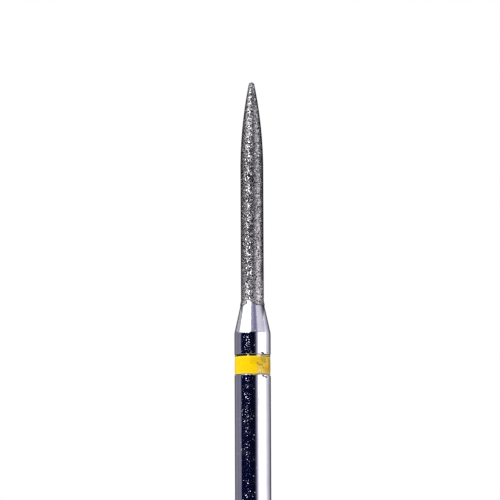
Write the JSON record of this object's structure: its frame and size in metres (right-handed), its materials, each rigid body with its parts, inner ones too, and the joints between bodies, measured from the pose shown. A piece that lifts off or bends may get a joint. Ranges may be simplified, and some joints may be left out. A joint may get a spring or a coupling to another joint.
{
  "type": "dental bur",
  "caption": "Friction-grip dental bur with a long, straight, flame-tipped head coated in fine diamond, a conical neck and a colour ring on its polished shank.",
  "frame": {"origin": "centre of the flat end of the shank", "axes": "+Z along the bur's axis, from the end of the shank to the tip of the head; +X and +Y across it"},
  "size_m": [0.0016, 0.0016, 0.022],
  "materials": {
    "polished_steel": "ground and polished nearly to a mirror",
    "diamond_nickel": "fine diamond grit held in matt nickel plate",
    "yellow_lacquer": "glossy lacquer, a little crinkled"
  },
  "bodies": {
    "root": {"steel_blank": "polished_steel", "diamond_coating": "diamond_nickel", "colour_ring": "yellow_lacquer"}
  },
  "joints": []
}
